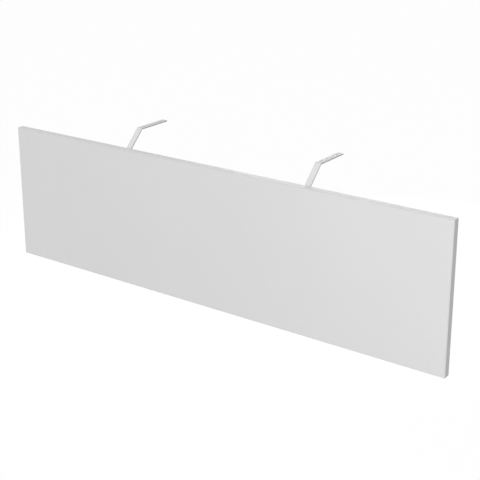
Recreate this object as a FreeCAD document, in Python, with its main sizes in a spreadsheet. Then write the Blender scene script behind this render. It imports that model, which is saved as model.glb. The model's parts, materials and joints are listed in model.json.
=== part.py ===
import FreeCAD, Part
import os
import Sketcher

# A desk modesty panel: a banded board that hangs below a desk top on two bent flat bars.
# X runs along the panel, Y runs back under the desk and Z points up. The origin lies in the
# plane of the desk's underside, in the middle of the four holes that fix the brackets to it.

doc = FreeCAD.newDocument("desk_modesty_panel")
sizes = doc.addObject("Spreadsheet::Sheet", "sizes")

# The most of a wall that a rounding may take
FULLEST_ROUND = 0.9

# Driving dimensions, in millimetres and degrees
DRIVING = (
    ("panel_length", "1200", "finished length, edge bands included"),
    ("panel_height", "340", "finished height, edge bands included"),
    ("panel_thickness", "18", "melamine-faced chipboard"),
    ("band_thickness", "2", "edge band glued round the board"),
    ("band_radius", "1.5", "rounded arris of the edge bands"),
    ("bracket_pitch", "500", "from the middle of one bracket to the middle of the other"),
    ("strap_width", "15", "flat bar that the brackets are bent from"),
    ("strap_thickness", "3", "flat bar that the brackets are bent from"),
    ("strap_corner_radius", "1.5", "corners of the bar's two cut ends, seen flat on"),
    ("strap_edge_chamfer", "0.4", "broken edge along the bar"),
    ("bend_radius", "2", "inside radius of both bends"),
    ("slope_angle", "45", "lean of the middle stretch away from upright"),
    ("desk_gap", "38", "from the desk's underside down to the panel's top edge"),
    ("bend_drop", "10", "from the panel's top edge down to the lower bend"),
    ("desk_hole_diameter", "5", "hole for a desk screw"),
    ("desk_hole_spacing", "60", "between the two desk holes of one flange"),
    ("desk_hole_margin", "18", "from a desk hole to its end of the flange"),
    ("screw_drop", "32", "from the lower bend down to the upper screw"),
    ("screw_spacing", "64", "between the two screws of one leg"),
    ("screw_margin", "16", "from the lower screw down to the leg's end"),
    ("screw_diameter", "5", "thread of the pan-head screws"),
    ("screw_length", "12", "below the head"),
    ("screw_hole_play", "0.5", "how much wider the leg's holes are than the screws"),
    ("head_diameter", "9.5", "pan head"),
    ("head_height", "3.7", "pan head"),
    ("head_chamfer", "1.2", "sloping rim of the pan head"),
    ("recess_span", "5.2", "cross recess, tip to tip"),
    ("recess_width", "1.2", "width of each arm of the cross recess"),
    ("recess_depth", "2.2", "cross recess"),
    ("insert_length", "11", "threaded insert"),
    ("insert_wall", "0.95", "wall of the insert between its barbs"),
    ("barb_depth", "0.5", "how far each barb stands out"),
    ("insert_play", "0.1", "how much wider the board's blind holes are than the inserts"),
    ("thread_play", "0.1", "how much wider the insert's bore is than the screw"),
    ("blind_hole_spare", "1.5", "free depth past the insert and the screw's point"),
)

# Places worked out from the driving dimensions
DERIVED = (
    ("tip_y", "=desk_hole_spacing / 2 + desk_hole_margin", "tip of the flange"),
    ("bend_y", "=-tip_y", "upper bend"),
    ("bend_z", "=-(desk_gap + bend_drop)", "lower bend"),
    ("back_y", "=bend_y + bend_z * tan(slope_angle * 1 deg)", "back face of the panel"),
    ("middle_z", "=-desk_gap - panel_height / 2", "middle of the panel's height"),
    ("upper_screw_z", "=bend_z - screw_drop", "upper screw"),
    ("lower_screw_z", "=upper_screw_z - screw_spacing", "lower screw"),
    ("leg_end_z", "=lower_screw_z - screw_margin", "lower end of the leg"),
    ("lower_setback", "=strap_thickness * tan(slope_angle / 2 * 1 deg)", "inner corner, lower bend"),
    ("upper_setback", "=strap_thickness * tan((90 - slope_angle) / 2 * 1 deg)", "inner corner, upper bend"),
    ("band_arris", f"=min(band_radius; band_thickness * {FULLEST_ROUND})", "rounding that the band can take"),
    ("insert_bore", "=screw_diameter + thread_play", "bore of the insert"),
    ("insert_diameter", "=insert_bore + 2 * (insert_wall + barb_depth)", "insert over its barbs"),
    ("screw_reach", "=screw_length - strap_thickness", "how far the screw goes into the board"),
    ("blind_hole_depth", "=max(insert_length; screw_reach) + blind_hole_spare", "hole for an insert"),
)

BARBS = 2
RECESS_ARMS = 4
SIDES = {"left": -1, "right": 1}
LEVELS = ("upper", "lower")
NEAR = 1e-4


def fill_sheet():
    """Write each size with its name and what it measures."""
    for row, (name, value, note) in enumerate(DRIVING + DERIVED, start=1):
        sizes.set(f"A{row}", name)
        sizes.set(f"B{row}", value)
        sizes.set(f"C{row}", note)
        sizes.setAlias(f"B{row}", name)
    doc.recompute()


def new_body(label):
    """Start one piece."""
    body = doc.addObject("PartDesign::Body", label)
    body.Label = label
    return body


def new_sketch(body, name, role, lift=None):
    """Lay a sketch on one of the body's own planes, lifted off it where an expression says so."""
    sketch = body.newObject("Sketcher::SketchObject", f"{body.Name}_{name}")
    plane = next(item for item in body.Origin.OriginFeatures if item.Role == role)
    sketch.AttachmentSupport = (plane, "")
    sketch.MapMode = "FlatFace"
    if lift:
        sketch.setExpression("AttachmentOffset.Base.z", lift)
    return sketch


def tie_point(sketch, geometry, position, across, along):
    """Tie a point of the sketch to two expressions, measured from the sketch's origin."""
    for kind, expression in (("DistanceX", across), ("DistanceY", along)):
        value = float(sketch.evalExpression(expression))
        index = sketch.addConstraint(Sketcher.Constraint(kind, -1, 1, geometry, position, value))
        sketch.setExpression(f"Constraints[{index}]", expression)


def draw_outline(sketch, corners):
    """Draw a closed outline whose corners are pairs of expressions."""
    spots = []
    for across, along in corners:
        x = float(sketch.evalExpression(across))
        y = float(sketch.evalExpression(along))
        spots.append(FreeCAD.Vector(x, y, 0))
    lines = []
    for start, end in zip(spots, spots[1:] + spots[:1]):
        lines.append(sketch.addGeometry(Part.LineSegment(start, end)))
    for line, following in zip(lines, lines[1:] + lines[:1]):
        sketch.addConstraint(Sketcher.Constraint("Coincident", line, 2, following, 1))
    for line, (across, along) in zip(lines, corners):
        tie_point(sketch, line, 1, across, along)


def draw_circle(sketch, across, along, diameter):
    """Draw a circle from three expressions."""
    x = float(sketch.evalExpression(across))
    y = float(sketch.evalExpression(along))
    radius = float(sketch.evalExpression(diameter)) / 2
    circle = Part.Circle(FreeCAD.Vector(x, y, 0), FreeCAD.Vector(0, 0, 1), radius)
    geometry = sketch.addGeometry(circle)
    tie_point(sketch, geometry, 3, across, along)
    index = sketch.addConstraint(Sketcher.Constraint("Diameter", geometry, 2 * radius))
    sketch.setExpression(f"Constraints[{index}]", diameter)


def pad(body, name, sketch, length, side="One side"):
    """Raise a sketch into a solid."""
    feature = body.newObject("PartDesign::Pad", f"{body.Name}_{name}")
    feature.Profile = sketch
    feature.SideType = side
    feature.setExpression("Length", length)
    doc.recompute()
    return feature


def revolve(body, name, sketch):
    """Turn a half outline about the body's upright axis."""
    feature = body.newObject("PartDesign::Revolution", f"{body.Name}_{name}")
    feature.Profile = sketch
    feature.ReferenceAxis = (sketch, ["V_Axis"])
    doc.recompute()
    return feature


def pocket(body, name, sketch, depth=None, backwards=False):
    """Cut a sketch into the body, right through it where no depth is given."""
    before = body.Shape.Volume
    feature = body.newObject("PartDesign::Pocket", f"{body.Name}_{name}")
    feature.Profile = sketch
    feature.Reversed = backwards
    if depth:
        feature.setExpression("Length", depth)
    else:
        feature.Type = "ThroughAll"
    doc.recompute()
    if not body.Shape.Volume < before:
        raise RuntimeError(f"{body.Label}: {name} cuts nothing")


def dress(body, name, kind, base, size, chosen):
    """Round or chamfer those edges of a feature that a test picks."""
    edges = [f"Edge{number}" for number, edge in enumerate(base.Shape.Edges, start=1) if chosen(edge)]
    feature = body.newObject(f"PartDesign::{kind}", f"{body.Name}_{name}")
    feature.Base = (base, edges)
    feature.setExpression("Radius" if kind == "Fillet" else "Size", size)
    doc.recompute()
    return feature


def place(body, x, y, z, axis=None, angle=0):
    """Put a body where three expressions say, turned about an axis first."""
    if axis:
        body.Placement = FreeCAD.Placement(FreeCAD.Vector(), FreeCAD.Rotation(axis, angle))
    for letter, expression in zip("xyz", (x, y, z)):
        body.setExpression(f"Placement.Base.{letter}", expression)


def runs_along(edge, axis):
    """Tell whether an edge is a straight one along an axis."""
    start = edge.Vertexes[0].Point
    step = edge.Vertexes[-1].Point - start
    return step.Length > NEAR and step.cross(axis).Length < NEAR * step.Length


X_AXIS = FreeCAD.Vector(1, 0, 0)
Y_AXIS = FreeCAD.Vector(0, 1, 0)
Z_AXIS = FreeCAD.Vector(0, 0, 1)


# The board, with its blind holes for the inserts in the back
def make_board():
    body = new_body("panel_board")
    half_length = "sizes.panel_length / 2 - sizes.band_thickness"
    half_height = "sizes.panel_height / 2 - sizes.band_thickness"
    outline = new_sketch(body, "outline", "XZ_Plane")
    draw_outline(outline, (
        (f"-({half_length})", f"-({half_height})"),
        (half_length, f"-({half_height})"),
        (half_length, half_height),
        (f"-({half_length})", half_height),
    ))
    pad(body, "sheet", outline, "sizes.panel_thickness")
    holes = new_sketch(body, "holes", "XZ_Plane")
    for sign in SIDES.values():
        for level in LEVELS:
            draw_circle(
                holes,
                f"{sign} * sizes.bracket_pitch / 2",
                f"sizes.{level}_screw_z - sizes.middle_z",
                "sizes.insert_diameter + sizes.insert_play",
            )
    pocket(body, "blind_holes", holes, "sizes.blind_hole_depth", backwards=True)
    place(body, "0", "sizes.back_y", "sizes.middle_z")
    return body


# An edge band stands on its glue line, with its length along Z and its outer face towards +X
def make_band(label, length, is_chosen):
    body = new_body(label)
    section = new_sketch(body, "section", "XY_Plane")
    draw_outline(section, (
        ("0", "-sizes.panel_thickness / 2"),
        ("sizes.band_thickness", "-sizes.panel_thickness / 2"),
        ("sizes.band_thickness", "sizes.panel_thickness / 2"),
        ("0", "sizes.panel_thickness / 2"),
    ))
    strip = pad(body, "strip", section, length, side="Symmetric")
    dress(body, "arris", "Fillet", strip, "sizes.band_arris", is_chosen)
    return body


# The side bands stop at the long bands, so only their two long arrises are rounded
def is_long_arris(edge):
    return runs_along(edge, Z_AXIS) and edge.BoundBox.XMin > NEAR


# The long bands cover the corners, so all edges are rounded but those on the glue line
def is_off_glue_line(edge):
    return edge.BoundBox.XMax > NEAR


def make_bands():
    half_length = "(sizes.panel_length / 2 - sizes.band_thickness)"
    half_height = "(sizes.panel_height / 2 - sizes.band_thickness)"
    depth = "sizes.back_y - sizes.panel_thickness / 2"
    bands = []
    for side, sign in SIDES.items():
        band = make_band(f"{side}_edge_band", f"2 * {half_height}", is_long_arris)
        place(band, f"{sign} * {half_length}", depth, "sizes.middle_z", Z_AXIS, 90 - 90 * sign)
        bands.append(band)
    for edge, sign in (("bottom", -1), ("top", 1)):
        band = make_band(f"{edge}_edge_band", "sizes.panel_length", is_off_glue_line)
        place(band, "0", depth, f"sizes.middle_z + {sign} * {half_height}", Y_AXIS, -90 * sign)
        bands.append(band)
    return bands


# A bracket, drawn from the side with sharp bends that are rounded afterwards
def make_bracket(side, sign):
    body = new_body(f"{side}_bracket")
    profile = new_sketch(body, "profile", "YZ_Plane")
    leg_back = "sizes.back_y + sizes.strap_thickness"
    draw_outline(profile, (
        ("sizes.back_y", "sizes.leg_end_z"),
        ("sizes.back_y", "sizes.bend_z"),
        ("sizes.bend_y", "0"),
        ("sizes.tip_y", "0"),
        ("sizes.tip_y", "-sizes.strap_thickness"),
        ("sizes.bend_y + sizes.upper_setback", "-sizes.strap_thickness"),
        (leg_back, "sizes.bend_z - sizes.lower_setback"),
        (leg_back, "sizes.leg_end_z"),
    ))
    bar = pad(body, "bar", profile, "sizes.strap_width", side="Symmetric")

    def is_bend(edge, corners):
        middle = edge.CenterOfMass
        return runs_along(edge, X_AXIS) and any(
            abs(middle.y - y) < NEAR and abs(middle.z - z) < NEAR for y, z in corners
        )

    thickness = sizes.strap_thickness
    outer = ((sizes.back_y, sizes.bend_z), (sizes.bend_y, 0))
    inner = (
        (sizes.back_y + thickness, sizes.bend_z - sizes.lower_setback),
        (sizes.bend_y + sizes.upper_setback, -thickness),
    )
    bar = dress(body, "outer_bends", "Fillet", bar, "sizes.bend_radius + sizes.strap_thickness",
                lambda edge: is_bend(edge, outer))
    bar = dress(body, "inner_bends", "Fillet", bar, "sizes.bend_radius", lambda edge: is_bend(edge, inner))

    def is_end_corner(edge):
        at_tip = runs_along(edge, Z_AXIS) and edge.BoundBox.YMin > sizes.tip_y - NEAR
        at_leg_end = runs_along(edge, Y_AXIS) and edge.BoundBox.ZMax < sizes.leg_end_z + NEAR
        return at_tip or at_leg_end

    bar = dress(body, "end_corners", "Fillet", bar, "sizes.strap_corner_radius", is_end_corner)

    def is_side_edge(edge):
        on_side = abs(edge.CenterOfMass.x) > sizes.strap_width / 2 - NEAR
        return on_side and abs(edge.Length - thickness) > NEAR

    dress(body, "side_edges", "Chamfer", bar, "sizes.strap_edge_chamfer", is_side_edge)
    leg_holes = new_sketch(body, "leg_holes", "XZ_Plane")
    for level in LEVELS:
        draw_circle(leg_holes, "0", f"sizes.{level}_screw_z", "sizes.screw_diameter + sizes.screw_hole_play")
    pocket(body, "screw_holes", leg_holes, backwards=True)
    flange_holes = new_sketch(body, "flange_holes", "XY_Plane")
    for end in ("-", ""):
        draw_circle(flange_holes, "0", f"{end}sizes.desk_hole_spacing / 2", "sizes.desk_hole_diameter")
    pocket(body, "desk_holes", flange_holes)
    place(body, f"{sign} * sizes.bracket_pitch / 2", "0", "0")
    return body


# A pan-head screw, its head up and the underside of the head at the origin
def make_screw(label):
    body = new_body(label)
    radius = "sizes.screw_diameter / 2"
    half = new_sketch(body, "half_outline", "XZ_Plane")
    draw_outline(half, (
        ("0", "-sizes.screw_length"),
        (radius, "-sizes.screw_length"),
        (radius, "0"),
        ("sizes.head_diameter / 2", "0"),
        ("sizes.head_diameter / 2", "sizes.head_height"),
        ("0", "sizes.head_height"),
    ))
    turned = revolve(body, "turned", half)
    dress(body, "rim", "Chamfer", turned, "sizes.head_chamfer",
          lambda edge: edge.BoundBox.ZMin > sizes.head_height - NEAR)
    cross = new_sketch(body, "cross", "XY_Plane", lift="sizes.head_height")
    tip = "sizes.recess_span / 2"
    side = "sizes.recess_width / 2"
    arm = [(tip, f"-({side})"), (tip, side), (side, side)]
    corners = []
    for _ in range(RECESS_ARMS):
        corners += arm
        arm = [(f"-({along})", across) for across, along in arm]
    draw_outline(cross, corners)
    pocket(body, "cross_recess", cross, "sizes.recess_depth")
    return body


# A threaded insert, its mouth at the origin, with barbs that point back towards the mouth
def make_insert(label):
    body = new_body(label)
    bore = "sizes.insert_bore / 2"
    outside = "sizes.insert_diameter / 2"
    root = f"{outside} - sizes.barb_depth"
    half = new_sketch(body, "half_outline", "XZ_Plane")
    corners = [(bore, "0"), (outside, "0")]
    for barb in range(1, BARBS + 1):
        height = f"-sizes.insert_length * {barb} / {BARBS}"
        corners.append((root, height))
        if barb < BARBS:
            corners.append((outside, height))
    corners.append((bore, "-sizes.insert_length"))
    draw_outline(half, corners)
    revolve(body, "turned", half)
    return body


def make_fasteners(side, sign):
    """Put a screw and its insert at each hole of one leg."""
    across = f"{sign} * sizes.bracket_pitch / 2"
    fasteners = []
    for level in LEVELS:
        height = f"sizes.{level}_screw_z"
        screw = make_screw(f"{side}_{level}_screw")
        place(screw, across, "sizes.back_y + sizes.strap_thickness", height, X_AXIS, -90)
        insert = make_insert(f"{side}_{level}_insert")
        place(insert, across, "sizes.back_y", height, X_AXIS, -90)
        fasteners += [screw, insert]
    return fasteners


def check(pieces):
    """Stop if anything failed to build."""
    for item in doc.Objects:
        if "Invalid" in item.State or "Error" in item.State:
            raise RuntimeError(f"{item.Label} did not build: {item.State}")
    for piece in pieces:
        shape = piece.Shape
        if shape.isNull() or not shape.isValid() or len(shape.Solids) != 1:
            raise RuntimeError(f"{piece.Label} is not one sound solid")


fill_sheet()
pieces = [make_board()]
pieces += make_bands()
for side, sign in SIDES.items():
    pieces.append(make_bracket(side, sign))
    pieces += make_fasteners(side, sign)
doc.recompute()
check(pieces)
os.makedirs("parts", exist_ok=True)
for piece in pieces:
    piece.Shape.exportStep(f"parts/{piece.Label}.step")
    print(f"{piece.Label}: {piece.Shape.Volume:.1f} mm3")
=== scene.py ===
# %% [markdown]
# # A desk modesty panel
#
# A modesty panel hangs below the front edge of a desk and hides the knees of whoever sits behind it.
# This one is a light grey board with plastic bands round its edges. Two narrow flat bars carry it:
# each is screwed to the back of the board, leans away at 45 degrees and ends in a flat flange that
# is fixed under the desk top.
#
# The construction comes as a frame of fixed pieces at their real size, in metres, so nothing has to
# be fitted by eye. This lesson adds what a frame lacks: edges as a cutter or a bend leaves them,
# screws with a thread and a cross, and a finish for every surface.

# %% Load the frame
import json
import math

import bmesh
import bpy
from mathutils import Matrix, Vector


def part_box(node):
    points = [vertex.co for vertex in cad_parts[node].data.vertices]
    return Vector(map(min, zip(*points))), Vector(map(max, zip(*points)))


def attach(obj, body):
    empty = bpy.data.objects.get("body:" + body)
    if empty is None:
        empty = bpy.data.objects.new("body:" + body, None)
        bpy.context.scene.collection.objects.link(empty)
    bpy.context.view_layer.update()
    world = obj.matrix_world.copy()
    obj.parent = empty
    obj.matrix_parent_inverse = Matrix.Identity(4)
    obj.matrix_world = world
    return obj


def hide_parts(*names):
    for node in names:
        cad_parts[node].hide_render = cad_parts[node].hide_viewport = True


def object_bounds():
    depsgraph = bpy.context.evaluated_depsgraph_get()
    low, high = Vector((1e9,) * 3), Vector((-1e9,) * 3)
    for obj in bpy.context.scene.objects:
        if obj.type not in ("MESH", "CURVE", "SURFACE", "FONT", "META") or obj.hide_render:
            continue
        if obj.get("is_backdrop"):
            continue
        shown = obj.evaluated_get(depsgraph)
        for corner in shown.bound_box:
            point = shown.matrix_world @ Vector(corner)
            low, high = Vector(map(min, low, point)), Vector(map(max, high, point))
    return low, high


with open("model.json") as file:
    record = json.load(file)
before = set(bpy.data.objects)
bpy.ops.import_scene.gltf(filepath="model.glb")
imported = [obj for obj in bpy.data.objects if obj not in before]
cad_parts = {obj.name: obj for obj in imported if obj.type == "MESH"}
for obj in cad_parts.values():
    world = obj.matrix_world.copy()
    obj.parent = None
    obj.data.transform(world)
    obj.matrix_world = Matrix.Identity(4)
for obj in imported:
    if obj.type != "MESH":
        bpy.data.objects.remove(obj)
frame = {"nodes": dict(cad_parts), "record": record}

MM = 0.001
scene = bpy.context.scene
frame_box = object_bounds()
record = frame["record"]
slot_of = {part["node"]: part["material_slot"] for part in record["subparts"]}
board_low, board_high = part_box("panel_board")
front_middle = Vector((0, board_low.y, (board_low.z + board_high.z) / 2))
print("the frame holds", len(slot_of), "pieces:", ", ".join(slot_of))

# %% [markdown]
# ## Where the camera stands
#
# The picture shows the panel from its front, a little from the right and from above, and the upright
# edges stay almost parallel. A lens that is shifted on its mount does that. A strong shift would push
# the panel out of the frame as soon as the camera walks round it, so the shift here is a small one
# and the camera tilts down for the rest.
#
# The camera is placed by turning, tilting and backing away from the middle of the panel's front, then
# stepping aside a little. Those are the moves a photographer makes, and each one can be changed
# without upsetting the others. The lens and the sensor are given in millimetres, as photographers do,
# the shift as a share of the picture, angles in degrees and lengths in metres.

# %% Place the camera
LENS = 81.1
SENSOR = 36.0
SHIFT = -0.12
AZIMUTH = 35.5
ELEVATION = 17.76
DISTANCE = 2.462
STEP_RIGHT = 75.1 * MM
STEP_UP = 128.4 * MM


def towards(azimuth, elevation):
    """The direction from the panel to a place so many degrees to the right and above."""
    ahead = Vector((0, -1, 0))
    ahead.rotate(Matrix.Rotation(math.radians(-elevation), 3, "X"))
    ahead.rotate(Matrix.Rotation(math.radians(azimuth), 3, "Z"))
    return ahead


backwards = towards(AZIMUTH, ELEVATION)
rightwards = towards(AZIMUTH + 90, 0)
upwards = backwards.cross(rightwards)

camera_data = bpy.data.cameras.new("studio_camera")
camera_data.lens = LENS
camera_data.sensor_width = SENSOR
camera_data.shift_y = SHIFT
camera = bpy.data.objects.new("studio_camera", camera_data)
camera.location = front_middle + DISTANCE * backwards + STEP_RIGHT * rightwards + STEP_UP * upwards
camera.rotation_euler = (-backwards).to_track_quat("-Z", "Y").to_euler()
scene.collection.objects.link(camera)
scene.camera = camera
print("camera at", tuple(round(value, 3) for value in camera.location))

# %% [markdown]
# ## A small language for finishes
#
# A finish is a graph of shader nodes. Wiring such a graph by hand takes many lines that hide the idea
# behind it, so two small classes help. `Wire` stands for one socket, and arithmetic on it adds Math
# nodes: `1 - mask` is a node like any other. `Finish` owns a graph, and its method `add` makes any node
# from its type, its settings and what its sockets take. Its method `math` is a short way to the Math
# nodes that Python has no sign for, such as a square root.

# %% Wrap sockets and graphs
class Wire:
    """One output socket of a finish. Arithmetic on it adds Math nodes."""

    def __init__(self, finish, socket):
        self.finish = finish
        self.socket = socket

    def out(self, name):
        """Another output of the same node."""
        return Wire(self.finish, self.socket.node.outputs[name])

    def __add__(self, other):
        return self.finish.math("ADD", self, other)

    def __sub__(self, other):
        return self.finish.math("SUBTRACT", self, other)

    def __rsub__(self, other):
        return self.finish.math("SUBTRACT", other, self)

    def __mul__(self, other):
        return self.finish.math("MULTIPLY", self, other)

    def __abs__(self):
        return self.finish.math("ABSOLUTE", self)

    __radd__ = __add__
    __rmul__ = __mul__


class Finish:
    """The node graph of a material or of the world."""

    def __init__(self, block):
        block.use_nodes = True
        self.block = block
        self.tree = block.node_tree
        self.tree.nodes.clear()

    def add(self, kind, settings=None, inputs=None, output=0):
        """Add a node: settings first, then a value or a wire for each socket that is named."""
        node = self.tree.nodes.new(kind)
        for name, value in (settings or {}).items():
            setattr(node, name, value)
        for name, value in (inputs or {}).items():
            if isinstance(value, Wire):
                self.tree.links.new(value.socket, node.inputs[name])
            else:
                node.inputs[name].default_value = value
        return Wire(self, node.outputs[output]) if node.outputs else None

    def math(self, operation, *values):
        return self.add("ShaderNodeMath", {"operation": operation}, dict(enumerate(values)))


print("finishes are built from", Wire.__name__, "and", Finish.__name__)

# %% [markdown]
# ## Patterns that several finishes share
#
# Every pattern here reads Object coordinates. All pieces sit at the origin with their place in their
# mesh, so those coordinates are metres in the frame. A texture's scale counts its grains to the metre,
# which is one over the size of a grain, so the helpers take that size. A soft step turns a distance
# into a mask with a smooth border. It also spreads a noise, which left alone keeps close to its middle
# value, over the whole way from 0 to 1. A wave repeats along any distance.

# %% Shared patterns
NOISE_RANGE = (0.3, 0.7)


def position(finish):
    return finish.add("ShaderNodeTexCoord", output="Object")


def along_axes(finish, where):
    """A wire whose outputs X, Y and Z are the parts of a position."""
    return finish.add("ShaderNodeSeparateXYZ", None, {"Vector": where})


def soft_step(finish, value, start, end):
    """0 before start, 1 past end and a smooth change between them."""
    smooth = {"interpolation_type": "SMOOTHSTEP"}
    return finish.add("ShaderNodeMapRange", smooth, {"Value": value, "From Min": start, "From Max": end})


def grain(finish, where, size, detail=2.0):
    inputs = {"Vector": where, "Scale": 1 / size, "Detail": detail}
    noise = finish.add("ShaderNodeTexNoise", None, inputs)
    return soft_step(finish, noise, *NOISE_RANGE)


def streaks(finish, where, sizes, detail=2.0):
    """A noise whose grains have another size along each axis."""
    counts = tuple(1 / size for size in sizes)
    squeezed = finish.add("ShaderNodeMapping", None, {"Vector": where, "Scale": counts})
    return grain(finish, squeezed, 1.0, detail)


def wave(finish, distance, pitch):
    return finish.math("SINE", distance * (math.tau / pitch))


def marked(finish, name):
    """A mark that a piece carries on some of its faces."""
    return finish.add("ShaderNodeAttribute", {"attribute_name": name}, output="Fac")


print("patterns for grain, streaks, waves, steps and marks")

# %% [markdown]
# ## From patterns to a surface
#
# Most patterns run from 0 to 1. `between` spreads one over the range of a roughness, and `mixed` over
# two colours. Most colours here are greys in linear light, the light that a renderer counts in. A bump
# takes its depth in metres, so a texture can be as shallow as the real one, a few hundredths of a
# millimetre. `paint` closes a finish with the shader that all of this feeds.
#
# Seen at a low angle, any smooth skin mirrors the white room. The top edge and the flanges don't do
# that in the picture, so the plastic and the powder coat get a matt skin, with less than the usual
# share of mirrored light.

# %% Feed a surface
MATT = 0.15


def between(low, high, share):
    """A value that goes from low to high as share goes from 0 to 1."""
    return low + (high - low) * share


def grey(value):
    return (value, value, value, 1.0)


def mixed(finish, mask, under, over):
    """The colour under where the mask is 0, the colour over where it is 1."""
    colours = {"data_type": "RGBA"}
    return finish.add("ShaderNodeMix", colours, {0: mask, 6: under, 7: over}, output=2)


def greys(finish, mask, darker, lighter):
    return mixed(finish, mask, grey(darker), grey(lighter))


def bumped(finish, height, depth):
    return finish.add("ShaderNodeBump", None, {"Height": height, "Distance": depth})


def paint(finish, inputs):
    surface = finish.add("ShaderNodeBsdfPrincipled", None, inputs)
    finish.add("ShaderNodeOutputMaterial", None, {"Surface": surface})
    print(finish.block.name, "has", len(finish.tree.nodes), "nodes")
    return finish.block


def dress(node, material):
    """Put a finish on a piece of the frame that stays as it is."""
    for spot in frame["nodes"][node].material_slots:
        spot.material = material


print("half of the way between 0.2 and 0.6 is", between(0.2, 0.6, 0.5))

# %% [markdown]
# ## Grey melamine
#
# The board is chipboard with a printed, resin-soaked paper pressed on to both faces. The press plate
# leaves a fine pearl in the resin, and the print is even, but not as even as paint. The finish has
# three parts: a cloudiness over hand-wide patches, a fine speckle, and a shallow bump of small cells.
# All three stay faint, because from two metres away the board reads as one plain grey.
#
# A hairline of glue shows where the face meets its band. It is drawn by distance: the mask takes the
# shorter way from each point to the board's outline.

# %% Finish the board
BOARD_GREYS = (0.635, 0.680)
BOARD_ROUGHNESS = (0.38, 0.54)
CLOUD_SIZE = 280 * MM
SPECKLE_SIZE = 0.7 * MM
SPECKLE_SHARE = 0.8
PEARL_SIZE = 1.1 * MM
PEARL_DEPTH = 0.06 * MM
PEARL_SMOOTHNESS = 0.6
GLUE_GREY = 0.40
GLUE_WIDTHS = (0.05 * MM, 0.2 * MM)


def from_outline(finish, where):
    """How far a point on the board lies from the nearest of its four edges."""
    axes = along_axes(finish, where)
    half = (board_high - board_low) / 2
    from_end = half.x - abs(axes.out("X"))
    from_long_edge = half.z - abs(axes.out("Z") - front_middle.z)
    return finish.math("MINIMUM", from_end, from_long_edge)


def melamine_board():
    finish = Finish(bpy.data.materials.new("pressed_melamine"))
    where = position(finish)
    cloud = grain(finish, where, CLOUD_SIZE)
    speckle = grain(finish, where, SPECKLE_SIZE, detail=3.0)
    paper = greys(finish, between(cloud, speckle, SPECKLE_SHARE), *BOARD_GREYS)
    clear_of_glue = soft_step(finish, from_outline(finish, where), *GLUE_WIDTHS)
    cells = {"Vector": where, "Scale": 1 / PEARL_SIZE, "Smoothness": PEARL_SMOOTHNESS}
    pearl = finish.add("ShaderNodeTexVoronoi", {"feature": "SMOOTH_F1"}, cells)
    return paint(finish, {
        "Base Color": mixed(finish, clear_of_glue, grey(GLUE_GREY), paper),
        "Roughness": between(*BOARD_ROUGHNESS, speckle),
        "Normal": bumped(finish, pearl, PEARL_DEPTH),
    })


dress("panel_board", melamine_board())

# %% [markdown]
# ## Edge band
#
# The bands are 2 mm strips of plastic close to the colour of the board. Their greys are set lighter
# than the board's: partly their own tone, partly painted light, so that the top edge, which gets less
# light than the front, reads as bright as the front. They come off a roll, so they carry faint streaks
# along their length. A cutter rounds their arrises, which leaves them duller, with fine ripples, and
# the arrises are painted a shade darker: painted shade that holds down the highlight they catch. Across
# every band the short way is the depth of the panel, so one noise with grains that are long in x and z
# and narrow in y gives the streaks of all four. The ripples run along x + z: a long band changes only
# x, an upright one only z. They show on the faces marked `arris`.

# %% Finish the bands
# Lighter than the board's greys: partly the band's own tone, partly painted light on the top edge.
BAND_GREYS_WITH_PAINTED_LIGHT = (0.705, 0.749)
BAND_ROUGHNESS = (0.34, 0.44)
STREAK_SIZES = (110 * MM, 0.7 * MM, 110 * MM)
BLOTCH_SIZE = 17 * MM
STREAK_SHARE = 0.8
STREAK_DEPTH = 0.012 * MM
# Painted shade: the arrises are darker so that the highlight the lamps put on them stays down.
ARRIS_SHADOW_GREY = 0.60
PAINTED_ARRIS_SHADE = 0.6
ARRIS_DULLNESS = 0.08
RIPPLE_PITCH = 1.6 * MM
RIPPLE_SHARE = 0.65


def edge_band_plastic():
    finish = Finish(bpy.data.materials.new("banding_plastic"))
    where = position(finish)
    streak = streaks(finish, where, STREAK_SIZES, detail=4.0)
    blotch = grain(finish, where, BLOTCH_SIZE)
    axes = along_axes(finish, where)
    ripple = wave(finish, axes.out("X") + axes.out("Z"), RIPPLE_PITCH)
    arris = marked(finish, "arris")
    # The band's colour, lighter than the board's as painted light on the top edge.
    plain = greys(finish, between(blotch, streak, STREAK_SHARE), *BAND_GREYS_WITH_PAINTED_LIGHT)
    return paint(finish, {
        # Painted shade on the arrises, which holds down their highlight.
        "Base Color": mixed(finish, PAINTED_ARRIS_SHADE * arris, plain, grey(ARRIS_SHADOW_GREY)),
        "Roughness": between(*BAND_ROUGHNESS, streak) + ARRIS_DULLNESS * arris,
        "Specular IOR Level": MATT,
        "Normal": bumped(finish, between(streak, RIPPLE_SHARE * ripple, arris), STREAK_DEPTH),
    })


band_plastic = edge_band_plastic()

# %% [markdown]
# ## Powder coat
#
# The flat bars are coated with powder that melts into one skin. It never lies as flat as a mirror:
# it has the shallow swells called orange peel, about 2 mm wide, and a finer grit on top. The faces
# with the mark `edge`, which are the narrow sides, the ends and the walls of the holes, are painted
# darker as painted shade. A screw that is done up tight leaves a rubbed ring round its head, and
# folding x and z about the middles of the bars and of the screws lets one distance find all four rings.

# %% Finish the flat bars
COAT_GREYS = (0.682, 0.722)
COAT_ROUGHNESS = (0.36, 0.52)
SWELL_SIZE = 2.1 * MM
GRIT_SIZE = 0.45 * MM
GRIT_SHARE = 0.5
PEEL_DEPTH = 0.015 * MM
# Painted shade on the narrow faces and the walls of the holes.
EDGE_SHADOW_GREY = 0.50
PAINTED_EDGE_SHADE = 0.6
RUBBED_GREY = 0.48
RUBBED_SHADE = 0.25
RUBBED_GLOSS = 0.10
RUBBED_WIDTH = 1.2 * MM

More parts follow.
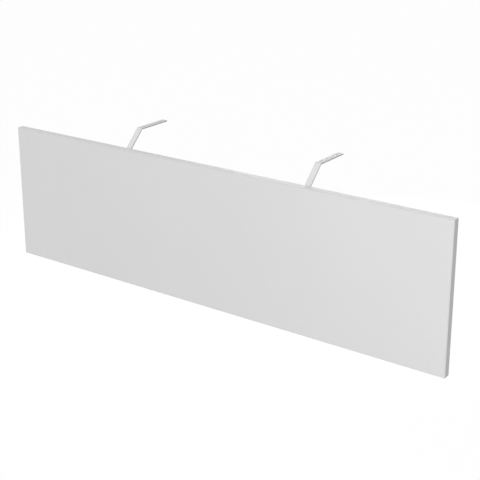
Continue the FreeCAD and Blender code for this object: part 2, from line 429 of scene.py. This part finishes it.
screw_boxes = [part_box(name) for name in slot_of if name.endswith("_screw")]
screw_middles = [(low + high) / 2 for low, high in screw_boxes]
screw_x = max(middle.x for middle in screw_middles)
screw_top = max(middle.z for middle in screw_middles)
screw_bottom = min(middle.z for middle in screw_middles)
head_radius = (screw_boxes[0][1].x - screw_boxes[0][0].x) / 2


def from_screw(finish, where):
    """How far a point lies from the axis of the nearest of the four screws."""
    axes = along_axes(finish, where)
    across = abs(axes.out("X")) - screw_x
    along = abs(axes.out("Z") - (screw_top + screw_bottom) / 2) - (screw_top - screw_bottom) / 2
    return finish.math("SQRT", across * across + along * along)


def powder_coat():
    finish = Finish(bpy.data.materials.new("powder_coat"))
    where = position(finish)
    swell = grain(finish, where, SWELL_SIZE)
    grit = grain(finish, where, GRIT_SIZE, detail=3.0)
    skin = between(swell, grit, GRIT_SHARE)
    edge = marked(finish, "edge")
    rubbed = soft_step(finish, from_screw(finish, where), head_radius + RUBBED_WIDTH, head_radius)
    coat = greys(finish, skin, *COAT_GREYS)
    # Painted shade: the faces marked edge are darker.
    edge_shaded_coat = mixed(finish, PAINTED_EDGE_SHADE * edge, coat, grey(EDGE_SHADOW_GREY))
    return paint(finish, {
        "Base Color": mixed(finish, RUBBED_SHADE * rubbed, edge_shaded_coat, grey(RUBBED_GREY)),
        "Roughness": between(*COAT_ROUGHNESS, grit) - RUBBED_GLOSS * rubbed,
        "Specular IOR Level": MATT,
        "Normal": bumped(finish, skin, PEEL_DEPTH),
    })


coat_grey = powder_coat()

# %% [markdown]
# ## Zinc plate
#
# The screws are steel with a bright zinc plate, which is bluish with patches that yellow a little. The
# lathe leaves rings on their heads, so one part of the bump is a wave along the distance from the
# axis. Handling adds fine scratches, which also make the gloss uneven.

# %% Finish the screws
ZINC_COLOURS = ((0.60, 0.62, 0.66, 1.0), (0.68, 0.67, 0.62, 1.0))
ZINC_ROUGHNESS = (0.22, 0.38)
PATCH_SIZE = 2.9 * MM
SCRATCH_SIZES = (0.4 * MM, 3.3 * MM, 1.4 * MM)
SCRATCH_DEPTH = 0.004 * MM
TURNED_PITCH = 0.25 * MM
TURNED_SHARE = 0.75


def zinc_plate():
    finish = Finish(bpy.data.materials.new("zinc_plate"))
    where = position(finish)
    patch = grain(finish, where, PATCH_SIZE)
    scratch = streaks(finish, where, SCRATCH_SIZES)
    turned = wave(finish, from_screw(finish, where), TURNED_PITCH)
    return paint(finish, {
        "Base Color": mixed(finish, patch, *ZINC_COLOURS),
        "Metallic": 1.0,
        "Roughness": between(*ZINC_ROUGHNESS, scratch),
        "Normal": bumped(finish, TURNED_SHARE * turned + scratch, SCRATCH_DEPTH),
    })


zinc = zinc_plate()

# %% [markdown]
# ## Turned brass
#
# The threaded inserts that the screws bite into sit in the back of the board, behind the bars, and
# show only when a bar comes off. They are turned about the depth of the panel, so their rings are a
# wave along y. Where the brass has tarnished it is a little browner and duller.

# %% Finish the inserts
BRASS_COLOURS = ((0.72, 0.56, 0.26, 1.0), (0.55, 0.40, 0.17, 1.0))
BRASS_ROUGHNESS = (0.24, 0.44)
TARNISH_SIZE = 2.4 * MM
RING_PITCH = 0.2 * MM
RING_DEPTH = 0.004 * MM


def turned_brass():
    finish = Finish(bpy.data.materials.new("turned_brass"))
    where = position(finish)
    tarnish = grain(finish, where, TARNISH_SIZE, detail=3.0)
    rings = wave(finish, along_axes(finish, where).out("Y"), RING_PITCH)
    return paint(finish, {
        "Base Color": mixed(finish, tarnish, *BRASS_COLOURS),
        "Metallic": 1.0,
        "Roughness": between(*BRASS_ROUGHNESS, tarnish),
        "Normal": bumped(finish, rings, RING_DEPTH),
    })


brass = turned_brass()
for name in slot_of:
    if name.endswith("_insert"):
        dress(name, brass)

# %% [markdown]
# ## From a mesh to a piece
#
# Each new piece stands for one piece of the frame, which is then hidden. It rides on the frame's one
# body and has its place in its mesh. The faces are shaded smooth, and a Weighted Normal modifier leans
# the normals towards the large faces. That keeps a flat face flat right up to the rounding beside it.

# %% Turn a bmesh into a piece
SHARP = math.radians(50)


def into_object(bm, name, material):
    """An object that sits at the origin, with its place in its mesh."""
    mesh = bpy.data.meshes.new(name)
    bm.to_mesh(mesh)
    bm.free()
    mesh.materials.append(material)
    made = bpy.data.objects.new(name, mesh)
    scene.collection.objects.link(made)
    return made


def into_piece(bm, name, node, material):
    bmesh.ops.recalc_face_normals(bm, faces=bm.faces)
    open_edges = sum(not edge.is_manifold for edge in bm.edges)
    piece = into_object(bm, name, material)
    piece.data.shade_smooth()
    piece.data.set_sharp_from_angle(angle=SHARP)
    piece.modifiers.new("even_shading", "WEIGHTED_NORMAL").keep_sharp = True
    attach(piece, "root")
    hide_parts(node)
    print(f"{name} stands for {node}: {len(piece.data.polygons)} faces, {open_edges} open edges")


print(f"edges that turn by over {math.degrees(SHARP):.0f} degrees stay sharp")

# %% [markdown]
# ## Rounding and cutting
#
# Nearly every edge here is rounded or broken, and bars and threads are cut across at chosen heights.
# Both operators take settings that are the same every time, so two helpers state them once. The
# smallest sizes in these meshes are about a tenth of a millimetre, so what lies within a thousandth
# of a millimetre counts as the same place.

# %% Round and cut
NEAR = 0.001 * MM
ON_THE_CUT = 0.0001 * MM
UP = Vector((0, 0, 1))


def bevel(bm, geometry, size, steps=1, affect="EDGES"):
    """Bevel edges, or corners where affect is VERTICES. Gives the new faces."""
    made = bmesh.ops.bevel(bm, geom=geometry, affect=affect, offset=size, offset_type="OFFSET",
                           segments=steps, profile=0.5, material=-1, clamp_overlap=False)
    return made["faces"]


def cut_across(bm, height, normal=UP, trim=False):
    """Cut a mesh at a height and, with trim, take away what lies on the normal's side."""
    bmesh.ops.bisect_plane(bm, geom=bm.verts[:] + bm.edges[:] + bm.faces[:], dist=ON_THE_CUT,
                           plane_co=(0, 0, height), plane_no=normal, clear_outer=trim)


print(f"points within {NEAR / MM} mm count as one")

# %% [markdown]
# ## The four edge bands
#
# A band is a strip as long as its edge. The long bands run over the ends of the upright ones, so their
# corners show and are rounded all round; an upright band is rounded along its two arrises only. The
# edges on the glue line get a far smaller bevel. It leaves the hairline groove that a scraper leaves
# between band and board.
#
# A cube, stretched to the band's box, and two bevels make this in a few lines. The first bevel also
# marks its faces, so that the finish can put the cutter's ripples and a painted shade there.

# %% Make the bands
ARRIS_RADIUS = 1.5 * MM
ARRIS_STEPS = 8
HAIRLINE = 0.12 * MM


def edge_band(side, covers_corners):
    node = f"{side}_edge_band"
    low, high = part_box(node)
    size = high - low
    middle = (low + high) / 2
    thin = min(range(3), key=lambda axis: size[axis])
    lengthwise = max(range(3), key=lambda axis: size[axis])
    glue = low[thin] if middle[thin] > front_middle[thin] else high[thin]

    def on_glue(edge):
        return all(abs(vert.co[thin] - glue) < NEAR for vert in edge.verts)

    def runs_lengthwise(edge):
        start, end = (vert.co for vert in edge.verts)
        return abs(start[lengthwise] - end[lengthwise]) > size[lengthwise] / 2

    bm = bmesh.new()
    bmesh.ops.create_cube(bm, size=1, matrix=Matrix.LocRotScale(middle, None, size))
    mark = bm.faces.layers.float.new("arris")
    rounded = [edge for edge in bm.edges if not on_glue(edge) and (covers_corners or runs_lengthwise(edge))]
    for face in bevel(bm, rounded, ARRIS_RADIUS, ARRIS_STEPS):
        face[mark] = 1.0
    bevel(bm, [edge for edge in bm.edges if on_glue(edge)], HAIRLINE)
    into_piece(bm, f"{side}_band", node, band_plastic)


for side, covers_corners in {"top": True, "bottom": True, "left": False, "right": False}.items():
    edge_band(side, covers_corners)

# %% [markdown]
# ## A hole in a flat bar
#
# A bracket like this starts as a length of flat bar, cut, drilled and deburred before it is bent. The
# mesh is made in the same order, because a hole is easy to cut while the bar is flat.
#
# A boolean would cut the hole too, but it leaves long thin faces that shade badly. Here two cuts across
# the bar set off a square cell. Its outline is divided and the cell poked, which draws spokes from the
# outline to a new vertex in the middle. Bevelling that vertex by the hole's radius cuts every spoke at
# the same distance: a round hole in a ring of neat quads.

# %% Drill a hole
HOLE_SIDES = 32


def drill(bm, height, radius, half_width):
    """Drill one upright face, half_width to each side of x = 0, at a height."""
    cut_across(bm, height - half_width)
    cut_across(bm, height + half_width)

    def on_cell(vert):
        return abs(max(abs(vert.co.x), abs(vert.co.z - height)) - half_width) < NEAR

    cell = next(face for face in bm.faces if all(map(on_cell, face.verts)))
    bmesh.ops.subdivide_edges(bm, edges=cell.edges[:], cuts=HOLE_SIDES // 4 - 1)
    middle = bmesh.ops.poke(bm, faces=[cell])["verts"]
    disc = bevel(bm, middle, radius, affect="VERTICES")
    bmesh.ops.delete(bm, geom=disc, context="FACES_ONLY")


print("holes have", HOLE_SIDES, "sides")

# %% [markdown]
# ## The flat blank
#
# One face is the whole bar, and a vertex bevel rounds its corners. After the holes, one extrusion gives
# the bar its thickness, walls of the holes included, and one bevel breaks every sharp edge. All faces
# but the two broad ones then get the mark `edge`: that is where the coat carries painted shade.

# %% Cut the blank
STRAP_THICKNESS = 3 * MM
END_RADIUS = 1.5 * MM
END_STEPS = 6
EDGE_BREAK = 0.4 * MM
EDGE_STEPS = 3
BROAD = 0.999


def verts_in(geometry):
    return [item for item in geometry if isinstance(item, bmesh.types.BMVert)]


def flat_blank(width, length, holes):
    """A bar that stands on its end, its front at y = 0. Holes are pairs of height and radius."""
    bm = bmesh.new()
    half = width / 2
    outline = [(-half, 0, 0), (half, 0, 0), (half, 0, length), (-half, 0, length)]
    bm.faces.new([bm.verts.new(corner) for corner in outline])
    bevel(bm, bm.verts[:], END_RADIUS, END_STEPS, affect="VERTICES")
    for height, radius in holes:
        drill(bm, height, radius, half)
    raised = bmesh.ops.extrude_face_region(bm, geom=bm.faces[:])["geom"]
    bmesh.ops.translate(bm, verts=verts_in(raised), vec=(0, STRAP_THICKNESS, 0))
    bmesh.ops.recalc_face_normals(bm, faces=bm.faces)
    mark = bm.faces.layers.float.new("edge")
    sharp = [edge for edge in bm.edges if edge.calc_face_angle(0) > SHARP]
    bevel(bm, sharp, EDGE_BREAK, EDGE_STEPS)
    bm.normal_update()
    for face in bm.faces:
        face[mark] = float(abs(face.normal.y) < BROAD)
    return bm


print("edges broken by", EDGE_BREAK / MM, "mm")

# %% [markdown]
# ## A map of the bar
#
# An export carries a finish as pictures, which reach the surface through a map. A map made from the bent
# bar may cut it apart at a bend, where a seam can show. While the bar is flat, a better one is easy to
# lay out: every face is pressed along the axis that it faces most, and lands on one of six strips that
# lie side by side. The broad faces and the long edges keep their whole length, so no bend has a seam.
# Walls of holes share the strips of the edges and of the ends, because they look the same. The export
# takes a map that has the name given here.

# %% Lay out a map
MAP_NAME = "OFBake"
STRIP_GAP = 1 * MM
X, Y, Z = range(3)
ACROSS_AND_UP = {Y: (X, Z), X: (Y, Z), Z: (Y, X)}


def lay_out(bm, width, length):
    """Map a flat bar on to six strips, each as high as the map."""
    low = Vector((-width / 2, 0, 0))
    size = Vector((width, STRAP_THICKNESS, length))
    starts = {}
    reach = 0.0
    for axis, (across, _) in ACROSS_AND_UP.items():
        for positive in (False, True):
            starts[axis, positive] = reach
            reach += size[across] + STRIP_GAP
    places = bm.loops.layers.uv.new(MAP_NAME)
    for face in bm.faces:
        axis = max(ACROSS_AND_UP, key=lambda axis: abs(face.normal[axis]))
        start = starts[axis, face.normal[axis] > 0]
        across, up = ACROSS_AND_UP[axis]
        for loop in face.loops:
            spot = loop.vert.co - low
            loop[places].uv = ((start + spot[across]) / reach, spot[up] / size[up])


print("strips lie", STRIP_GAP / MM, "mm apart")

# %% [markdown]
# ## Bending it
#
# A press bends the bar twice the same way, by 45 degrees each time. The middle of the bar's thickness
# keeps its length, the inside shrinks and the outside stretches. The mesh can be bent just so: cross
# cuts divide the stretch that curves, and at each cut everything beyond it turns by a small angle
# about the middle of the thickness. Going from the far end back to the leg, each cut is still where
# it was in the flat bar when its turn comes.
#
# The cuts stand as far apart as the sides of a polygon drawn round the bend's arc, so the straight
# stretches end up exactly in the planes of the frame's bracket.

# %% Bend a bar
BEND_RADIUS = 2 * MM
LEAN = math.radians(45)
BEND_STEPS = 12

half_side = (BEND_RADIUS + STRAP_THICKNESS / 2) * math.tan(LEAN / BEND_STEPS / 2)
allowance = 2 * BEND_STEPS * half_side
setback = (BEND_RADIUS + STRAP_THICKNESS) * math.tan(LEAN / 2)


def bend(bm, starts):
    """Bend a flat bar at each height that starts a bend."""
    cuts = [start + half_side * (2 * step + 1) for start in starts for step in range(BEND_STEPS)]
    for cut in cuts:
        cut_across(bm, cut)
    flat_height = {vert: vert.co.z for vert in bm.verts}
    turn = Matrix.Rotation(-LEAN / BEND_STEPS, 3, "X")
    for cut in reversed(cuts):
        beyond = [vert for vert in bm.verts if flat_height[vert] > cut + NEAR]
        bmesh.ops.rotate(bm, verts=beyond, cent=(0, STRAP_THICKNESS / 2, cut), matrix=turn)


print(f"each bend takes {allowance / MM:.2f} mm of bar")

# %% [markdown]
# ## The two brackets
#
# The frame's bracket gives the sizes: its box gives the leg, the rise and the flange, the screws and the
# desk mount give the places of the holes. The flange reaches as far before the origin as behind it, and
# the slope rises as much as it goes back. The length of the blank follows from the corners that the
# straight stretches would meet in, less what each bend saves. Both bars are the same, one half of the
# pitch to each side.

# %% Make the brackets
SCREW_HOLE_RADIUS = 2.75 * MM

desk_fixing = next(mount for mount in record["mounts"] if mount["name"] == "desk_fixing")
desk_hole_radius = desk_fixing["dims"]["hole_r_mm"] * MM
desk_hole_reach = desk_fixing["dims"]["spacing_y_mm"] * MM / 2


def bent_bar(side):
    node = f"{side}_bracket"
    low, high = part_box(node)
    flange_start = -high.y
    rise = flange_start - low.y
    lower_bend = high.z - rise - low.z - setback
    upper_bend = lower_bend + allowance + rise / math.cos(LEAN) - 2 * setback
    length = upper_bend + allowance + high.y - flange_start - setback
    flange_middle = length - high.y
    holes = [(height - low.z, SCREW_HOLE_RADIUS) for height in (screw_bottom, screw_top)]
    holes += [(flange_middle + reach, desk_hole_radius) for reach in (-desk_hole_reach, desk_hole_reach)]
    width = high.x - low.x
    bm = flat_blank(width, length, holes)
    lay_out(bm, width, length)
    bend(bm, (lower_bend, upper_bend))
    bmesh.ops.translate(bm, verts=bm.verts, vec=((low.x + high.x) / 2, low.y, low.z))
    print(f"the blank of the {side} bar is {length / MM:.1f} mm long")
    into_piece(bm, f"{side}_bent_bar", node, coat_grey)


for side in ("left", "right"):
    bent_bar(side)

# %% [markdown]
# ## A thread
#
# Four machine screws hold the bars. Only their heads show, but a screw without a thread would be a
# peg. The thread is one pitch of its profile, swept down a helix: spin turns it and moves it along
# at each step, and the turns meet and are merged. Two cuts square off its ends, and the lower one
# is filled. The upper one stays open, for the head.

# %% Cut a thread
THREAD_SIDES = 24
THREAD_RADIUS = 2.5 * MM
THREAD_PITCH = 0.8 * MM
THREAD_DEPTH = 0.43 * MM
CREST = THREAD_PITCH / 8
ROOT = THREAD_PITCH / 4
FLANK = (THREAD_PITCH - CREST - ROOT) / 2
SPARE_TURNS = 2


def thread(bm, length):
    """A threaded shank below z = 0. Gives the edges of its open top."""
    inner = THREAD_RADIUS - THREAD_DEPTH
    height = THREAD_PITCH
    profile = [bm.verts.new((THREAD_RADIUS, 0, height))]
    for radius, drop in ((THREAD_RADIUS, CREST), (inner, FLANK), (inner, ROOT), (THREAD_RADIUS, FLANK)):
        height -= drop
        profile.append(bm.verts.new((radius, 0, height)))
    edges = [bm.edges.new(pair) for pair in zip(profile, profile[1:])]
    turns = math.ceil(length / THREAD_PITCH) + SPARE_TURNS
    bmesh.ops.spin(bm, geom=profile + edges, cent=(0, 0, 0), axis=(0, 0, 1), angle=math.tau * turns,
                   dvec=(0, 0, -THREAD_PITCH / THREAD_SIDES), steps=turns * THREAD_SIDES, use_merge=False)
    bmesh.ops.remove_doubles(bm, verts=bm.verts, dist=NEAR)
    cut_across(bm, 0, UP, trim=True)
    cut_across(bm, -length, -UP, trim=True)
    tip = [edge for edge in bm.edges if edge.is_boundary and edge.verts[0].co.z < -length / 2]
    bmesh.ops.triangle_fill(bm, use_beauty=True, edges=tip)
    return [edge for edge in bm.edges if edge.is_boundary]


print(f"thread of {2 * THREAD_RADIUS / MM:.1f} mm, {THREAD_PITCH / MM:.1f} mm to a turn")

# %% [markdown]
# ## A pan head
#
# The head is a short drum with a bevelled rim. Its flat top is opened and filled again round the
# outline of a cross, which is then drawn down into the head and narrowed, as the driver's tip is. The
# ring that is left open underneath joins the head to the top of the thread.

# %% Shape a head
HEAD_SIDES = 48
HEAD_ROUND = 1.9 * MM
HEAD_STEPS = 8
RECESS_SPAN = 2.6 * MM
RECESS_HALF_WIDTH = 0.6 * MM
RECESS_DEPTH = 2.2 * MM
RECESS_TAPER = 0.6
QUARTER_TURN = math.pi / 2


def cross_outline(bm, height):
    """The outline of a cross, as four arms of three corners each."""
    arm = ((RECESS_SPAN, -RECESS_HALF_WIDTH), (RECESS_SPAN, RECESS_HALF_WIDTH), (RECESS_HALF_WIDTH,) * 2)
    corners = [
        Matrix.Rotation(quarter * QUARTER_TURN, 3, "Z") @ Vector((x, y, height))
        for quarter in range(4) for x, y in arm
    ]
    verts = [bm.verts.new(corner) for corner in corners]
    return [bm.edges.new(pair) for pair in zip(verts, verts[1:] + verts[:1])]


def drawn(bm, edges, height):
    """Extrude a loop of edges by a height along z. Gives the new loop's verts and edges."""
    made = bmesh.ops.extrude_edge_only(bm, edges=edges)["geom"]
    verts = verts_in(made)
    bmesh.ops.translate(bm, verts=verts, vec=(0, 0, height))
    loop = [item for item in made if isinstance(item, bmesh.types.BMEdge) and set(item.verts) <= set(verts)]
    return verts, loop


def pan_head(bm, radius, height, shank_rim):
    """A drum on top of the shank, with a rounded rim and a cross recess."""
    drum = bmesh.ops.create_circle(bm, segments=HEAD_SIDES, radius=radius)
    seat = list({edge for vert in drum["verts"] for edge in vert.link_edges})
    rim = drawn(bm, seat, height)[1]
    bmesh.ops.edgeloop_fill(bm, edges=rim)
    bevel(bm, rim, HEAD_ROUND, HEAD_STEPS)
    lid = max(bm.faces, key=lambda face: (face.calc_center_median().z, len(face.verts)))
    lid_rim = lid.edges[:]
    bmesh.ops.delete(bm, geom=[lid], context="FACES_ONLY")
    cross = cross_outline(bm, height)
    bmesh.ops.triangle_fill(bm, use_beauty=True, edges=lid_rim + cross)
    bottom_verts, bottom = drawn(bm, cross, -RECESS_DEPTH)
    bmesh.ops.scale(bm, verts=bottom_verts, vec=(RECESS_TAPER, RECESS_TAPER, 1))
    bmesh.ops.edgeloop_fill(bm, edges=bottom)
    bmesh.ops.triangle_fill(bm, use_beauty=True, edges=seat + shank_rim)


print(f"cross recess {RECESS_DEPTH / MM:.1f} mm deep")

# %% [markdown]
# ## The four screws
#
# A screw is made upright, head on top, then laid on its back along y and moved to its hole. No two
# screws stop at the same angle when they are tight, so each one is first turned a little further than
# the last.

# %% Make the screws
SCREW_TURN = math.radians(37)


def pan_screw(node, turn):
    low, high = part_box(node)
    seat_y = board_high.y + STRAP_THICKNESS
    bm = bmesh.new()
    shank_rim = thread(bm, seat_y - low.y)
    pan_head(bm, (high.x - low.x) / 2, high.y - seat_y, shank_rim)
    laid = Matrix.Rotation(-QUARTER_TURN, 3, "X") @ Matrix.Rotation(turn, 3, "Z")
    bmesh.ops.rotate(bm, verts=bm.verts, cent=(0, 0, 0), matrix=laid)
    bmesh.ops.translate(bm, verts=bm.verts, vec=((low.x + high.x) / 2, seat_y, (low.z + high.z) / 2))
    into_piece(bm, node.replace("_screw", "_pan_screw"), node, zinc)


for count, name in enumerate(name for name in slot_of if name.endswith("_screw")):
    pan_screw(name, count * SCREW_TURN)

# %% [markdown]
# ## A white studio
#
# The panel hangs well above the floor, so that a camera can look at it from a little below as well.
# Floor and world are white to the eye, and plain light to everything else: Light Path tells whether a
# ray comes from the camera, or by way of a reflection, and only those rays see white. The floor keeps
# part of its own shading, and with it the soft shadow of the panel. The light that it throws up at
# the panel is that of a grey floor, so that the undersides stay darker than the tops.

# %% Build the studio
FLOOR_DROP = 1.4
FLOOR_SIZE = 20.0
AMBIENT = 0.51
FLOOR_GREY = 0.55
FLOOR_WHITE = 0.95
FLOOR_GLOW = 0.97


def looked_at(finish):
    """1 for a ray that shows the surface to the camera, straight or by way of a reflection."""
    path = finish.add("ShaderNodeLightPath")
    seen = finish.math("MAXIMUM", path.out("Is Camera Ray"), path.out("Is Glossy Ray"))
    return finish.math("MAXIMUM", seen, path.out("Is Transmission Ray"))


def studio_floor():
    finish = Finish(bpy.data.materials.new("studio_floor"))
    seen = looked_at(finish)
    shade = greys(finish, seen, FLOOR_GREY, FLOOR_WHITE)
    plain = finish.add("ShaderNodeBsdfDiffuse", None, {"Color": shade})
    white = finish.add("ShaderNodeEmission", None, {"Color": grey(1.0)})
    surface = finish.add("ShaderNodeMixShader", None, {0: FLOOR_GLOW * seen, 1: plain, 2: white})
    finish.add("ShaderNodeOutputMaterial", None, {"Surface": surface})
    bm = bmesh.new()
    bmesh.ops.create_grid(bm, size=FLOOR_SIZE, matrix=Matrix.Translation((0, 0, -FLOOR_DROP)))
    floor = into_object(bm, "studio_floor", finish.block)
    floor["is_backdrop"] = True


def studio_world():
    world = bpy.data.worlds.new("studio_world")
    finish = Finish(world)
    strength = between(AMBIENT, 1.0, looked_at(finish))
    light = finish.add("ShaderNodeBackground", None, {"Color": grey(1.0), "Strength": strength})
    finish.add("ShaderNodeOutputWorld", None, {"Surface": light})
    scene.world = world


studio_floor()
studio_world()
print("floor at", -FLOOR_DROP, "m, ambient light", AMBIENT)

# %% [markdown]
# ## Three soft lamps
#
# The surfaces tell where the light comes from. The slopes of the bars are the brightest, the front and
# the flat tops come next and are much alike, and the end is the darkest. So the main lamp hangs almost
# straight ahead and well above the panel. It hangs a long way off, because the front hardly changes from
# top to bottom. The front does grow brighter towards its right end. A second, weak lamp does that: it
# stands close before that end and looks straight at the front, so that the end itself stays dark. A
# third one stands level behind the panel. It lights the back, and nothing that shows from the front.
#
# A lamp's strength is given as its share of the light that an all-white world would give, because
# the shares and the ambient light then add up to about 1, where a colour looks as it is written.

# %% Hang the lamps
MAIN_SHARE = 0.568
MAIN_DISTANCE = 9.0
MAIN_SIZE = 4.0
MAIN_AZIMUTH = 4.0
MAIN_ELEVATION = 30.0
NEAR_SHARE = 0.183
NEAR_DISTANCE = 0.8
NEAR_SIZE = 0.6
NEAR_PAST_END = 0.2
NEAR_RISE = 0.12
BACK_SHARE = 0.42
BACK_DISTANCE = 4.0
BACK_SIZE = 1.6
BACK_AZIMUTH = 205.0


def soft_box(name, aimed_at, back, distance, size, share):
    """A square lamp that hangs back at a distance from what it is aimed at."""
    lamp_data = bpy.data.lights.new(name, "AREA")
    lamp_data.shape = "SQUARE"
    lamp_data.size = size
    lamp_data.energy = share * (math.pi * distance) ** 2
    lamp = bpy.data.objects.new(name, lamp_data)
    lamp.location = aimed_at + distance * back
    lamp.rotation_euler = (-back).to_track_quat("-Z", "Y").to_euler()
    lamp.visible_camera = False
    scene.collection.objects.link(lamp)
    print(f"{name}: {lamp_data.energy:.1f} W at", tuple(round(value, 2) for value in lamp.location))


main_way = towards(MAIN_AZIMUTH, MAIN_ELEVATION)
back_way = towards(BACK_AZIMUTH, 0)
before_end = front_middle + Vector((board_high.x + NEAR_PAST_END, 0, NEAR_RISE))
soft_box("main_lamp", front_middle, main_way, MAIN_DISTANCE, MAIN_SIZE, MAIN_SHARE)
soft_box("near_lamp", before_end, towards(0, 0), NEAR_DISTANCE, NEAR_SIZE, NEAR_SHARE)
soft_box("back_lamp", front_middle, back_way, BACK_DISTANCE, BACK_SIZE, BACK_SHARE)

# %% [markdown]
# ## The boxes at the end
#
# The view transform is Standard, so a colour in a finish is the colour in the picture under plain
# light. The last step prints the box of the frame beside the box of what is shown now. Looks never
# change a size, so the two should be the same.

# %% Print the boxes
scene.view_settings.view_transform = "Standard"
boxes = {"frame": frame_box, "shown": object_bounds()}
boxes = {name: [list(corner) for corner in box] for name, box in boxes.items()}
print(boxes)
